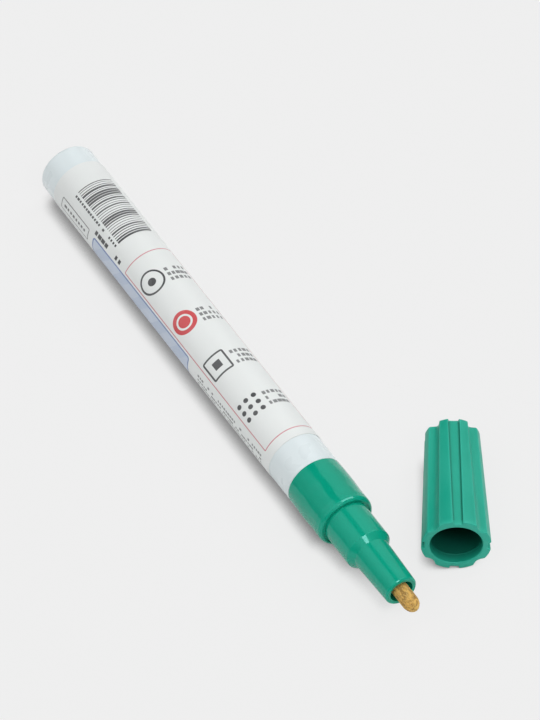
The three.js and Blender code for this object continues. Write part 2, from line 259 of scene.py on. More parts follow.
# A ring printed on the film; with no radius it is a dot as wide as its line
def printedRing(tree, given):
    a = minus(tree, given["Along"], given["Middle Along"])
    r = minus(tree, given["Round"], given["Middle Round"])
    return {"Mask": lineMask(tree, given, awayFrom(tree, hypotenuse(tree, a, r), given["Radius"]))}


# The whole step that a place lies in, and how far the place is from that step's middle
def stepOf(tree, place, pitch):
    steps = calc(tree, "DIVIDE", place, pitch)
    return calc(tree, "FLOOR", steps), awayFrom(tree, calc(tree, "FRACT", steps), 0.5)


def chanceOf(tree, *cell):
    vector = result(tree, "ShaderNodeCombineXYZ", dict(enumerate(cell)))
    return result(tree, "ShaderNodeTexWhiteNoise", {"Vector": vector}, noise_dimensions="3D")


# Rows of short dashes of uneven length, with a gap where chance leaves one out
def dashRows(tree, given):
    column, across = stepOf(tree, given["Run"], given["Pitch"])
    row, up = stepOf(tree, given["Stack"], given["Row Pitch"])
    chance = chanceOf(tree, column, row, given["Seed"])
    kept = calc(tree, "LESS_THAN", chance, given["Share Kept"])
    halfLength = times(tree, soften(tree, chance, 0.0, 0.75, 0.95, 0.55), 0.5)
    halfThick = calc(tree, "DIVIDE", times(tree, given["Thickness"], 0.5), given["Row Pitch"])
    dash = within(tree, across, halfLength, 0.06, 0.03)
    line = within(tree, up, halfThick, 0.05, 0.05)
    return {"Mask": times(tree, times(tree, dash, line), kept)}


# Bars across the film, one to a module, whose widths come from a hash of their place
def unevenBars(tree, given):
    module, across = stepOf(tree, given["Run"], given["Module"])
    width = soften(tree, chanceOf(tree, module, given["Seed"]), 0.25, 0.75, 0.12, 0.4)
    return {"Mask": within(tree, across, width, 0.05, 0.05)}


scales = {"Wave Scale": 160.0, "Skin Scale": 5200.0, "Speckle Scale": 1500.0}
marks = {"Along": 0.0, "Round": 0.0, "Middle Along": 0.0, "Middle Round": 0.0, "Line": 0.2, "Edge": 0.04}
boxInputs = {"Half Along": 1.0, "Half Round": 1.0, "Corner": 0.2}
dashNames = ("Pitch", "Row Pitch", "Thickness", "Share Kept", "Seed")
dashInputs = dict.fromkeys(("Run", "Stack", *dashNames), 0.5)
wrapGroup = makeGroup("placeOnTurnedPiece", {"Vector": "Vector", "Radius": 6.2}, placeOnTurnedPiece)
mouldingGroup = makeGroup("mouldedSkin", {"Vector": "Vector", **scales}, mouldedSkin)
boxGroup = makeGroup("printedBox", {**marks, **boxInputs}, printedBox)
ringGroup = makeGroup("printedRing", {**marks, "Radius": 2.0}, printedRing)
dashGroup = makeGroup("dashRows", dashInputs, dashRows)
barGroup = makeGroup("unevenBars", {"Run": 0.0, "Module": 0.6, "Seed": 0.0}, unevenBars)
print("shader groups are built")


def newMaterial(name, look):
    material = bpy.data.materials.new(name)
    material.use_nodes = True
    tree = material.node_tree
    shader = tree.nodes["Principled BSDF"]
    inputs = {
        "Base Color": look["colour"],
        "Roughness": look["roughness"],
        "Metallic": look.get("metal", 0.0),
        "IOR": 1.5,
        "Specular Tint": look.get("shine", (1, 1, 1)),
    }
    fill(tree, shader, inputs)
    material.diffuse_color = (*look["colour"], 1)
    return material, tree, shader


def ownCoordinates(tree, turn):
    inputs = {
        "Vector": addNode(tree, "ShaderNodeTexCoord").outputs["Object"],
        "Location": turn.to_translation(),
        "Rotation": turn.to_euler(),
    }
    return result(tree, "ShaderNodeMapping", inputs, vector_type="TEXTURE")


def squeezed(tree, vector, share):
    return result(tree, "ShaderNodeMapping", {"Vector": vector, "Scale": (1.0, share, 1.0)})


# The moulded skin's masks at the scales of one finish
def skinOf(tree, vector, waves, grain, speckle=1500.0):
    inputs = {"Vector": vector, "Wave Scale": waves, "Skin Scale": grain, "Speckle Scale": speckle}
    return placeGroup(tree, mouldingGroup, inputs)


# Roughness that follows a mask from one factor or step to another
def unevenSkin(tree, mask, look, step=(-0.03, 0.05)):
    return soften(tree, mask, 0.0, 1.0, look["roughness"] + step[0], look["roughness"] + step[1])


# Mesh helpers
# The two ways out of a corner, half the angle between them, and how far a rounding reaches
def cornerCut(before, here, after, size, most):
    back = before - here
    ahead = after - here
    half = back.angle(ahead) / 2
    reach = min(size / tan(half), most * back.length, most * ahead.length)
    return back.normalized(), ahead.normalized(), half, reach


def filleted(points, steps):
    done = []
    count = len(points)
    closed = points[0][0] > 0 or points[-1][0] > 0
    for i, point in enumerate(points):
        size = point[2] if len(point) > 2 else 0
        here = Vector(point[:2])
        if size == 0 or (not closed and i in (0, count - 1)):
            done.append((here.x, here.y, 0.0))
            continue
        before = Vector(points[i - 1][:2])
        after = Vector(points[(i + 1) % count][:2])
        back, ahead, half, reach = cornerCut(before, here, after, size, 0.48)
        start = here + back * reach
        end = here + ahead * reach
        size = reach * tan(half)
        middle = here + (back + ahead).normalized() * size / sin(half)
        sweep = (start - middle).angle(end - middle)
        for k in range(steps + 1):
            share = k / steps
            if sweep < 1e-6:
                spot = start.lerp(end, share)
            else:
                a = sin((1 - share) * sweep) / sin(sweep)
                b = sin(share * sweep) / sin(sweep)
                spot = middle + (start - middle) * a + (end - middle) * b
            # Points of a rounding get one, a painted highlight on the rounded edge
            done.append((spot.x, spot.y, 1.0))
    return done


# Points on a smooth line through the given ones
def curveThrough(points, steps):
    done = []
    last = len(points) - 1
    for i in range(last):
        before = Vector(points[max(i - 1, 0)])
        here = Vector(points[i])
        after = Vector(points[i + 1])
        beyond = Vector(points[min(i + 2, last)])
        leaving = (after - before) / 2
        arriving = (beyond - here) / 2
        for k in range(steps):
            t = k / steps
            cubic = (2 * here - 2 * after + leaving + arriving) * t**3
            square = (3 * after - 3 * here - 2 * leaving - arriving) * t**2
            done.append(tuple(cubic + square + leaving * t + here))
    done.append(points[-1])
    return done


# Every point carries a value that the green plastics read as painted light: above nought a painted
# highlight, below nought painted shade
def meshFrom(name, points, faces, paintedHighlightAndShade, turn):
    mesh = bpy.data.meshes.new(name)
    mesh.from_pydata([Vector(p) * mm for p in points], [], faces)
    layer = mesh.attributes.new("paintedHighlightAndShade", "FLOAT", "POINT")
    layer.data.foreach_set("value", paintedHighlightAndShade)
    for polygon in mesh.polygons:
        polygon.use_smooth = True
    mesh.transform(turn)
    mesh.update()
    return mesh


# Faces of a closed tube that is made of rings with the same number of points
def tubeFaces(rings, sides):
    last = rings * sides - 1
    faces = [tuple(range(sides)), tuple(range(last, last - sides, -1))]
    for row in range(0, last - sides, sides):
        for k in range(sides):
            after = (k + 1) % sides
            faces.append((row + k, row + sides + k, row + sides + after, row + after))
    return faces


def faceOutwards(mesh):
    volume = 0.0
    mesh.calc_loop_triangles()
    for triangle in mesh.loop_triangles:
        a, b, c = (mesh.vertices[i].co for i in triangle.vertices)
        volume += a.dot(b.cross(c))
    if volume < 0:
        mesh.flip_normals()


def turnedMesh(name, profile, turn, sides, swell=None):
    points = []
    paintedHighlightAndShade = []
    rings = []
    # A profile point's third value is its painted highlight or shade
    for r, place, edge in profile:
        if r == 0:
            rings.append([len(points)])
            points.append((0, place, 0))
            paintedHighlightAndShade.append(edge)
            continue
        ring = []
        for k in range(sides):
            angle = 2 * pi * k / sides
            size = r + (swell(r, place, angle) if swell else 0)
            ring.append(len(points))
            points.append((size * sin(angle), place, size * cos(angle)))
            paintedHighlightAndShade.append(edge)
        rings.append(ring)
    faces = []
    pairs = list(zip(rings, rings[1:]))
    if profile[0][0] > 0:
        pairs.append((rings[-1], rings[0]))
    # Next to a pole a face has one corner less
    for low, high in pairs:
        for k in range(sides):
            spots = ((low, k), (high, k), (high, k + 1), (low, k + 1))
            corners = (ring[i % len(ring)] for ring, i in spots)
            faces.append(tuple(dict.fromkeys(corners)))
    mesh = meshFrom(name, points, faces, paintedHighlightAndShade, turn)
    faceOutwards(mesh)
    return mesh


def addPiece(mesh, material, body, slot, *replaced):
    mesh.materials.clear()
    mesh.materials.append(material)
    mesh.set_sharp_from_angle(angle=radians(50))
    piece = newObject(mesh.name, mesh)
    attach(piece, body)
    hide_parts(*replaced)
    return piece


# Barrel: painted metal tube, bare at both ends of the label
barrelSizes = {
    "radius": 6.1,
    "rear": -0.5,
    "front": 100.5,
    "wall": 0.4,
    "rearCorner": 0.9,
    "lip": 0.28,
    "innerLip": 0.06,
    "sides": 192,
}
barrelLook = {
    "colour": (0.745, 0.82, 0.838),
    "cool": (0.733, 0.811, 0.83),
    "roughness": 0.3,
    "skinDepth": 0.000004,
    "coat": 0.25,
    "coatRoughness": 0.12,
}


def barrelMaterial():
    look = barrelLook
    material, tree, shader = newMaterial("barrelPaint", look)
    skin = skinOf(tree, ownCoordinates(tree, markerTurn), 90.0, 2600.0)
    inputs = {
        "Base Color": mixColour(tree, skin["Tone"], look["colour"], look["cool"]),
        "Roughness": unevenSkin(tree, skin["Tone"], look),
        "Normal": bumpFrom(tree, skin["Skin"], look["skinDepth"]),
        "Coat Weight": look["coat"],
        "Coat Roughness": look["coatRoughness"],
    }
    fill(tree, shader, inputs)
    return material


def makeBarrel():
    s = barrelSizes
    bore = s["radius"] - s["wall"]
    outline = filleted(
        [
            (0, s["rear"]),
            (s["radius"], s["rear"], s["rearCorner"]),
            (s["radius"], s["front"], s["lip"]),
            (bore, s["front"], s["innerLip"]),
            (bore, s["rear"] + s["wall"], s["rearCorner"] - s["wall"]),
            (0, s["rear"] + s["wall"]),
        ],
        8,
    )
    mesh = turnedMesh("barrelTube", outline, markerTurn, s["sides"])
    addPiece(mesh, barrelMaterial(), "marker", "barrel_paint", "barrel")


makeBarrel()
print("barrel is done")

# Label: printed film with a generic design of bars, panel, frame, motifs and dash rows
labelSizes = {
    "inner": 6.125,
    "film": 0.08,
    "rear": 5.2,
    "front": 93.0,
    "edge": 0.03,
    "sides": 192,
    "seamAngle": 2.75,
}
labelLook = {
    "colour": (0.807, 0.833, 0.824),
    "roughness": 0.36,
    "ink": (0.022, 0.022, 0.026),
    "greyInk": (0.11, 0.113, 0.118),
    "red": (0.56, 0.10, 0.13),
    "redMotif": (0.62, 0.035, 0.045),
    "paleBlue": (0.50, 0.58, 0.72),
    "deepBlue": (0.12, 0.20, 0.45),
    "stripe": (0.8, 0.84, 0.9),
    "smudge": (0.62, 0.64, 0.65),
    "seam": (0.45, 0.46, 0.47),
    "skinDepth": 0.00001,
}
# What is printed, in millimetres along and round the film. Rows of dashes also have their pitch,
# their rows' pitch, the thickness, the share that is kept and a seed. A square has half its
# width, its corner and the part of it that is printed.
labelPrint = {
    "bars": {"along": (11.2, 28.4), "round": (-5.2, 3.2), "corner": 0.02, "module": 0.64, "seed": 4.0},
    "barNotes": {"along": (11.2, 28.2), "round": (3.6, 4.4), "dash": (0.85, 0.8, 0.5, 0.8, 3.0)},
    "noteBox": {"along": (8.6, 19.4), "round": (6.5, 9.2), "corner": 0.3, "line": 0.2},
    "panel": {"along": (21.5, 60.5), "round": (6.9, 14.6), "corner": 0.6, "line": 0.34},
    "stripes": {"slant": 0.9, "pitch": 7.8, "edge": (0.42, 0.5)},
    "redFrame": {"along": (34.0, 90.6), "round": (-6.9, 6.2), "corner": 0.25, "line": 0.24},
    "ring": {"at": (41.0, 2.7), "radius": 2.7, "line": 0.44, "dot": 1.9},
    "redDisc": {"at": (54.0, 2.6), "radius": 2.8, "opening": 0.58, "line": 0.46},
    "squares": {"at": (67.5, 2.7), "line": 0.42},
    "squareShapes": ((2.5, 0.3, "Outline"), (2.5 / 2.6, 0.1, "Fill")),
    "dots": {"at": (80.8, 2.7), "pitch": 1.95, "width": 1.1},
    "dashBlocks": {"half": 2.25, "round": (-6.1, -0.9), "dash": (1.1, 1.5, 0.9, 0.86)},
    "blockMiddles": (41.5, 54.5, 68.0, 81.0),
    "noteDashes": {"along": (9.6, 18.4), "round": (7.2, 8.5), "dash": (1.1, 1.3, 0.62, 0.85, 7.0)},
    "sideDashes": {"along": (64.4, 90.0), "round": (7.6, 10.6), "dash": (0.8, 1.0, 0.5, 0.8, 12.0)},
    "boldDashes": {"along": (21.0, 31.8), "round": (4.9, 6.4), "dash": (1.35, 1.5, 0.9, 0.85, 9.0)},
}


def labelMaterial():
    look = labelLook
    material, tree, shader = newMaterial("labelFilm", look)
    vector = ownCoordinates(tree, markerTurn)
    inputs = {"Vector": vector, "Radius": labelSizes["inner"] + labelSizes["film"]}
    spot = placeGroup(tree, wrapGroup, inputs)
    place = {"Along": spot["Along"], "Round": spot["Round"]}

    def either(*masks):
        joined = masks[0]
        for mask in masks[1:]:
            joined = calc(tree, "MAXIMUM", joined, mask)
        return joined

    def box(span, part="Fill"):
        inputs = {"Corner": span.get("corner", 0.05), "Line": span.get("line", 0.16)}
        for way in place:
            low, high = span[way.lower()]
            inputs["Middle " + way] = (low + high) / 2
            inputs["Half " + way] = (high - low) / 2
        return placeGroup(tree, boxGroup, {**place, **inputs})[part]

    def ring(at, radius, line):
        inputs = {"Middle Along": at[0], "Middle Round": at[1], "Radius": radius, "Line": line}
        return placeGroup(tree, ringGroup, {**place, **inputs})["Mask"]

    # Whole rows of dashes that fill a span, read along the film or round it
    def dashes(span, roundwise=False):
        run, stack = (minus(tree, place[way], span[way.lower()][0]) for way in place)
        if roundwise:
            run, stack = stack, run
        inputs = {"Run": run, "Stack": stack, **dict(zip(dashNames, span["dash"]))}
        return times(tree, box(span), placeGroup(tree, dashGroup, inputs)["Mask"])

    colour = look["colour"]

    def ink(mask, share, tone):
        nonlocal colour
        colour = mixColour(tree, times(tree, mask, share), colour, look[tone])

    # Pale panel with a deeper edge and lighter slanting stripes, and the frame's line
    panel = box(labelPrint["panel"])
    stripe = labelPrint["stripes"]
    slant = calc(tree, "MULTIPLY_ADD", spot["Round"], stripe["slant"], spot["Along"])
    step = calc(tree, "FRACT", calc(tree, "DIVIDE", slant, stripe["pitch"]))
    stripes = soften(tree, step, *stripe["edge"])
    ink(panel, 1.0, "paleBlue")
    ink(times(tree, panel, stripes), 0.22, "stripe")
    ink(box(labelPrint["panel"], "Outline"), 0.9, "deepBlue")
    ink(box(labelPrint["redFrame"], "Outline"), 0.82, "red")

    # Motifs inside the frame
    circle = labelPrint["ring"]
    motifs = [ring(circle["at"], circle["radius"], circle["line"])]
    motifs.append(ring(circle["at"], 0.0, circle["dot"]))
    square = labelPrint["squares"]
    a, r = square["at"]
    for half, corner, part in labelPrint["squareShapes"]:
        span = {"along": (a - half, a + half), "round": (r - half, r + half)}
        motifs.append(box({**square, **span, "corner": corner}, part))
    dots = labelPrint["dots"]
    a, r = dots["at"]
    for i in (-1, 0, 1):
        for j in (-1, 0, 1):
            at = (a + i * dots["pitch"], r + j * dots["pitch"])
            motifs.append(ring(at, 0.0, dots["width"]))

    # Grey rows of dashes beside the motifs and the panel
    rows = [dashes(labelPrint["sideDashes"])]
    block = labelPrint["dashBlocks"]
    for seed, middle in enumerate(labelPrint["blockMiddles"], 1):
        along = (middle - block["half"], middle + block["half"])
        rows.append(dashes({**block, "along": along, "dash": (*block["dash"], seed)}, True))
    ink(either(*rows), 0.85, "greyInk")
    bars = labelPrint["bars"]
    inputs = {"Run": spot["Along"], "Module": bars["module"], "Seed": bars["seed"]}
    darkInk = either(
        times(tree, box(bars), placeGroup(tree, barGroup, inputs)["Mask"]),
        box(labelPrint["noteBox"], "Outline"),
        *(dashes(labelPrint[name]) for name in ("noteDashes", "barNotes", "boldDashes")),
        *motifs,
    )
    ink(darkInk, 0.93, "ink")

    # Red round motif: a disc with an open ring in it
    disc = labelPrint["redDisc"]
    opening = ring(disc["at"], disc["radius"] * disc["opening"], disc["line"])
    discMask = times(tree, ring(disc["at"], 0.0, 2 * disc["radius"]), minus(tree, 1.0, opening))
    ink(discMask, 0.93, "redMotif")

    skin = skinOf(tree, vector, 70.0, 3400.0)
    ink(skin["Tone"], 0.05, "smudge")
    seam = soften(tree, awayFrom(tree, spot["Angle"], labelSizes["seamAngle"]), 0.0, 0.03, 1.0, 0.0)
    ink(seam, 0.3, "seam")
    height = minus(tree, times(tree, skin["Skin"], 0.2), seam)
    height = calc(tree, "MULTIPLY_ADD", skin["Waves"], 1.5, height)
    inkGloss = times(tree, either(darkInk, discMask), 0.08)
    inputs = {
        "Base Color": colour,
        "Roughness": minus(tree, unevenSkin(tree, skin["Tone"], look), inkGloss),
        "Normal": bumpFrom(tree, height, look["skinDepth"]),
    }
    fill(tree, shader, inputs)
    return material


def makeLabel():
    s = labelSizes
    outer = s["inner"] + s["film"]
    corners = [(outer, s["rear"], s["edge"]), (outer, s["front"], s["edge"]), (s["inner"], s["front"])]
    outline = filleted([*corners, (s["inner"], s["rear"])], 3)
    mesh = turnedMesh("labelWrap", outline, markerTurn, s["sides"])
    addPiece(mesh, labelMaterial(), "marker", "label_film", "label_film")


makeLabel()
print("label is done")

# Tip holder: plug, collar, step and nose in one glossy moulding
holderSizes = {
    "plugRear": 92.5,
    "plugLead": 0.5,
    "plugRadius": 5.66,
    "chamber": 4.61,
    "collarRear": 100.55,
    "collarRearCorner": 0.28,
    "collarSide": ((6.14, 100.83), (6.23, 105.15), (6.13, 109.55), (6.17, 111.45)),
    "collarFront": 113.0,
    "collarRim": ((6.165, 112.22, 0.4), (6.02, 112.64, 0.3), (5.68, 113.0, 0.15)),
    "recessOuter": 5.35,
    "recessDepth": 0.2,
    "stepRadius": 4.93,
    "stepFront": 122.75,
    "stepChamfer": 1.35,
    "noseRear": 3.85,
    "noseRim": ((3.485, 133.83, 0.2), (3.265, 134.1, 0.15), (3.09, 134.2, 0.1)),
    "noseFront": 134.2,
    "bore": 2.5,
    "guide": 1.88,
    "guideRear": 112.65,
    "guideLength": 2.4,
    "nibRoom": 3.245,
    "shoulder": 110.05,
    "sides": 192,
}
holderLook = {
    "colour": (0.0015, 0.33, 0.208),
    # A random paler tone that also serves as the painted highlight on rounded edges, then the painted
    # shade colour
    "paleToneAndEdgeHighlight": (0.004, 0.355, 0.228),
    "deepToneAndShade": (0.0008, 0.18, 0.113),
    "shine": (0.48, 1, 1),
    "roughness": 0.1,
    "waveDepth": 0.0002,
    "waveScale": 400.0,
    "waveEnd": (110.8, 111.9),
    "waveRest": 0.15,
    "skinDepth": 0.0000015,
    "speckle": 0.1,
    "fleck": (0.0, 0.16, 0.1),
}


def greenPlastic(name, look, turn):
    material, tree, shader = newMaterial(name, look)
    vector = ownCoordinates(tree, turn)
    skin = skinOf(tree, squeezed(tree, vector, 0.6), look["waveScale"], 4200.0, 1900.0)
    # Rounded edges are painted lighter as a highlight, on top of a random paler tone; points below
    # nought are painted darker as shade
    paintedHighlightAndShade = addNode(tree, "ShaderNodeAttribute", attribute_name="paintedHighlightAndShade").outputs["Fac"]
    edge = calc(tree, "MAXIMUM", paintedHighlightAndShade, 0.0)
    tone = calc(tree, "MULTIPLY_ADD", edge, 0.8, times(tree, skin["Tone"], 0.45))
    colour = mixColour(tree, tone, look["colour"], look["paleToneAndEdgeHighlight"])
    colour = mixColour(tree, times(tree, paintedHighlightAndShade, -1.0), colour, look["deepToneAndShade"])
    colour = mixColour(tree, times(tree, skin["Speckle"], look["speckle"]), colour, look["fleck"])
    steps = (look["roughness"] * -0.12, look["roughness"] * 0.2)
    rough = unevenSkin(tree, skin["Tone"], look, steps)
    along = placeGroup(tree, wrapGroup, {"Vector": vector})["Along"]
    wavy = soften(tree, along, *look["waveEnd"], 1.0, look["waveRest"])
    waves = bumpFrom(tree, times(tree, skin["Waves"], wavy), look["waveDepth"])
    inputs = {
        "Base Color": colour,
        "Roughness": calc(tree, "MULTIPLY_ADD", skin["Speckle"], 0.06, rough),
        "Normal": bumpFrom(tree, skin["Skin"], look["skinDepth"], waves),
    }
    fill(tree, shader, inputs)
    return material


holderGreen = greenPlastic("holderGreen", holderLook, markerTurn)


def makeHolder():
    s = holderSizes
    outline = filleted(
        [
            (s["plugRadius"] - s["plugLead"], s["plugRear"], 0.1),
            (s["plugRadius"], s["plugRear"] + s["plugLead"], 0.15),
            (s["plugRadius"], s["collarRear"]),
            (s["collarSide"][0][0], s["collarRear"], s["collarRearCorner"]),
            *curveThrough(s["collarSide"], 9),
            *s["collarRim"],
            (s["recessOuter"], s["collarFront"], 0.04),
            (s["recessOuter"], s["collarFront"] - s["recessDepth"], 0.03),
            (s["stepRadius"], s["collarFront"] - s["recessDepth"], 0.04),
            (s["stepRadius"], s["stepFront"] - s["stepChamfer"], 0.18),
            (s["noseRear"], s["stepFront"], 0.08),
            *s["noseRim"],
            (s["bore"], s["noseFront"], 0.12),
            (s["bore"], s["guideRear"] + s["guideLength"]),
            (s["guide"], s["guideRear"] + s["guideLength"]),
            (s["guide"], s["guideRear"]),
            (s["nibRoom"], s["guideRear"]),
            (s["nibRoom"], s["shoulder"]),
            (s["chamber"], s["shoulder"]),
            (s["chamber"], s["plugRear"]),
        ],
        6,
    )
    mesh = turnedMesh("tipHolderShell", outline, markerTurn, s["sides"])
    addPiece(mesh, holderGreen, "marker", "holder_green", "tip_holder")


makeHolder()
print("tip holder is done")


# The last step of a repeat: real copies, and the piece's material on them
def finished(tree, given, shape):
    inputs = {"Geometry": shape, "Material": given["Finish"]}
    return {"Geometry": result(tree, "GeometryNodeSetMaterial", inputs)}


# Repeats a shape round its own axis and welds the copies where they meet
def repeatRoundAxis(tree, given):
    share = calc(tree, "DIVIDE", result(tree, "GeometryNodeInputIndex"), given["Copies"])
    inputs = {
        "Points": result(tree, "GeometryNodePoints", {"Count": given["Copies"]}),
        "Instance": given["Geometry"],
        "Rotation": combine(tree, Y=times(tree, share, tau)),
    }
    copies = result(tree, "GeometryNodeInstanceOnPoints", inputs)
    real = result(tree, "GeometryNodeRealizeInstances", {0: copies})
    inputs = {"Geometry": real, "Distance": given["Weld Distance"]}
    return finished(tree, given, result(tree, "GeometryNodeMergeByDistance", inputs))


inputKinds = {"Geometry": "Geometry", "Copies": "Int", "Weld Distance": "Float", "Finish": "Material"}
repeatTree = makeGroup("repeatRoundAxis", inputKinds, repeatRoundAxis, "Geometry")


def throughTree(name, mesh, tree, values, turn):
    holder = newObject(name + "Maker", mesh)
    modifier = holder.modifiers.new("maker", "NODES")
    modifier.node_group = tree
    for item in tree.interface.items_tree:
        if item.item_type == "SOCKET" and item.in_out == "INPUT" and item.name in values:
            modifier[item.identifier] = values[item.name]
    bpy.context.view_layer.update()
    made = bpy.data.meshes.new_from_object(holder.evaluated_get(bpy.context.evaluated_depsgraph_get()))
    made.name = name
    holder.modifiers.clear()
    bpy.data.objects.remove(holder)
    made.transform(turn)
    for polygon in made.polygons:
        polygon.use_smooth = True
    faceOutwards(made)
    return made


# Guide ribs inside the nose, which hold the nib in the middle
guideSizes = {
    "copies": 6,
    "width": 0.6,
    "rear": 119.05,
    "front": 131.3,
    "inner": 1.88,
    "outer": 2.9,
    "nosing": 0.35,
}


def makeGuideRibs():
    s = guideSizes
    half = s["width"] / 2
    stations = [(s["rear"], 0.0), (s["front"] - s["nosing"], 0.0), (s["front"], s["nosing"])]
    points = []
    for place, lift in stations:
        for x, z in (
            (-half, s["outer"]),
            (-half, s["inner"] + 0.1 + lift),
            (-half + 0.1, s["inner"] + lift),
            (half - 0.1, s["inner"] + lift),
            (half, s["inner"] + 0.1 + lift),
            (half, s["outer"]),
        ):
            points.append((x, place, z))
    faces = tubeFaces(len(stations), 6)
    mesh = meshFrom("guideRib", points, faces, [0.0] * len(points), Matrix.Identity(4))
    values = {"Copies": s["copies"], "Weld Distance": 0.0, "Finish": holderGreen}
    made = throughTree("noseGuideRibs", mesh, repeatTree, values, markerTurn)
    addPiece(made, holderGreen, "marker", "holder_green", "tip_holder")


makeGuideRibs()
print("guide ribs are done")

# Cap: tapered cup with grooved rib pairs and hollows, one quarter repeated four times
capSizes = {
    "length": 29.0,
    "boreDepth": 27.7,
    "mouthRadius": 7.0,
    "endRadius": 5.571,
    "grooveDepth": 0.7,
    "grooveHalf": (0.95, 1.12),
    "ribEdge": (radians(32.4), radians(30.5)),
    "hollowDepth": (0.7, 1.05),
    "cornerRound": 0.16,
    "ribRound": 0.3,
    # Painted shade in the groove floor's corners, then where painted shade in the bore starts and how
    # deep it takes to darken fully
    "creviceShade": -0.4,
    "shadeFrom": 0.2,
    "shadeOver": 3.6,
    "rimChamfer": 0.18,
    "endRound": 0.7,
    "rings": 24,
    "ribSteps": 6,
    "hollowSteps": 9,
    "cornerSteps": 4,
    "rimSteps": 3,
    "endSteps": 5,
    "bore": (
        (6.2, 0.0, 0),
        (5.45, 0.0, 0.07),
        (5.25, 0.2, 0.05),
        (5.25, 2.0, 0.12),
        (5.15, 2.3, 0.12),
        (5.25, 2.6, 0.12),
        (5.25, 10.35, 0.2),
        (4.311, 11.289, 0.2),
        (4.311, 22.05, 0.1),
        (3.09, 22.05, 0.1),
        (3.09, 27.7, 0.2),
        (0.9, 27.7, 0),
    ),
}
capLook = {
    "colour": (0.008, 0.36, 0.245),
    # A random paler tone that also serves as the painted highlight on rounded edges, then the near-black
    # painted shade inside the bore and in the groove corners
    "paleToneAndEdgeHighlight": (0.025, 0.42, 0.3),
    "deepToneAndShade": (0.0001, 0.01, 0.006),
    "shine": (0.5, 1, 1),
    "roughness": 0.38,
    "waveDepth": 0.00003,
    "waveScale": 180.0,
    "waveEnd": (30.0, 31.0),
    "waveRest": 1.0,
    "skinDepth": 0.000005,
    "speckle": 0.16,
    "fleck": (0.0, 0.16, 0.1),
}


def between(pair, share):
    return pair[0] + (pair[1] - pair[0]) * share


def ribQuarter(place, inset):
    s = capSizes
    share = place / s["length"]
    radius = between((s["mouthRadius"], s["endRadius"]), share)
    half = between(s["grooveHalf"], share)
    edge = between(s["ribEdge"], share)
    depth = between(s["hollowDepth"], share)
    floor = radius - s["grooveDepth"]
    start = asin(half / radius)
    corners = [(half * part, floor, 0) for part in (0, 0.5, 0.55)]
    floorCorner = len(corners)
    corners.append((half, floor, s["cornerRound"]))
    for k in range(s["ribSteps"] + 1):
        angle = start + (edge - start) * k / s["ribSteps"]
        size = s["cornerRound"] if k == 0 else s["ribRound"] if k == s["ribSteps"] else 0
        corners.append((radius * sin(angle), radius * cos(angle), size))
    for k in range(1, s["hollowSteps"] + 1):
        across = k / s["hollowSteps"] - 1
        angle = pi / 4 + across * (pi / 4 - edge)
        r = radius - depth * (1 - across * across)
        corners.append((r * sin(angle), r * cos(angle), 0))
    eighth = []
    for i, (x, z, size) in enumerate(corners):
        if size == 0:
            eighth.append((x, z, 0.0))
            continue
        here = Vector((x, z))
        before = Vector(corners[i - 1][:2])
        back, ahead, _, reach = cornerCut(before, here, Vector(corners[i + 1][:2]), size, 0.45)
        a = here + back * reach
        b = here + ahead * reach
        for k in range(s["cornerSteps"] + 1):
            t = k / s["cornerSteps"]
            spot = a.lerp(here, t).lerp(here.lerp(b, t), t)
            # The groove floor's corner is painted as shade, every other rounding as a highlight
            eighth.append((spot.x, spot.y, s["creviceShade"] if i == floorCorner else 1.0))
    mirrored = [(z, x, e) for x, z, e in reversed(eighth[:-1])]
    scale = (radius - inset) / radius
    return [(x * scale, z * scale, e) for x, z, e in eighth + mirrored]


def capMesh(material):
    s = capSizes
    straight = s["length"] - s["endRound"]
    stations = []
    for k in range(s["rimSteps"] + 1):
        a = pi / 2 * k / s["rimSteps"]
        stations.append((s["rimChamfer"] * (1 - cos(a)), s["rimChamfer"] * (1 - sin(a)), 1.0))
    for k in range(1, s["rings"] + 1):
        stations.append((s["rimChamfer"] + (straight - s["rimChamfer"]) * k / s["rings"], 0.0, 0.0))
    for k in range(1, s["endSteps"] + 1):
        a = pi / 2 * k / s["endSteps"]
        stations.append((straight + s["endRound"] * sin(a), s["endRound"] * (1 - cos(a)), 1.0))
    points = []
    paintedHighlightAndShade = []

    def addRow(row):
        for *point, edge in row:
            points.append(point)
            paintedHighlightAndShade.append(edge)
        return range(len(points) - len(row), len(points))

    rows = []
    for place, inset, edge in stations:
        # Rows of the mouth's rounding and the closed end's rounding are painted as a highlight all
        # round; other rows keep the quarter's own values
        rows.append(addRow([(x, place, z, 1.0 if edge else e) for x, z, e in ribQuarter(place, inset)]))
    # Inside, from the mouth's chamfer down to the floor, with painted shade that deepens from the mouth
    # inwards
    columns = len(rows[0])
    boreRows = []
    for r, place, edge in filleted(s["bore"], 3)[1:]:
        shade = -min(1.0, (place - s["shadeFrom"]) / s["shadeOver"])
        row = []
        for k in range(columns):
            angle = pi / 2 * k / (columns - 1)
            row.append((r * sin(angle), place, r * cos(angle), min(shade, 0.0) or edge))
        boreRows.append(addRow(row))
    faces = []
    surface = [*reversed(boreRows), *rows]
    for low, high in zip(surface, surface[1:]):
        for k in range(columns - 1):
            faces.append((low[k], low[k + 1], high[k + 1], high[k]))
    endMiddle = len(points)
    points.append((0, s["length"], 0))
    paintedHighlightAndShade.append(0.0)
    floorMiddle = len(points)
    points.append((0, s["boreDepth"], 0))
    # The middle of the bore floor is painted as full shade
    paintedHighlightAndShade.append(-1.0)
    for k in range(columns - 1):
        faces.append((rows[-1][k], rows[-1][k + 1], endMiddle))
        faces.append((boreRows[-1][k + 1], boreRows[-1][k], floorMiddle))
    quarter = meshFrom("capQuarter", points, faces, paintedHighlightAndShade, Matrix.Identity(4))
    values = {"Copies": 4, "Weld Distance": 0.000002, "Finish": material}
    return throughTree("capShell", quarter, repeatTree, values, capTurn)


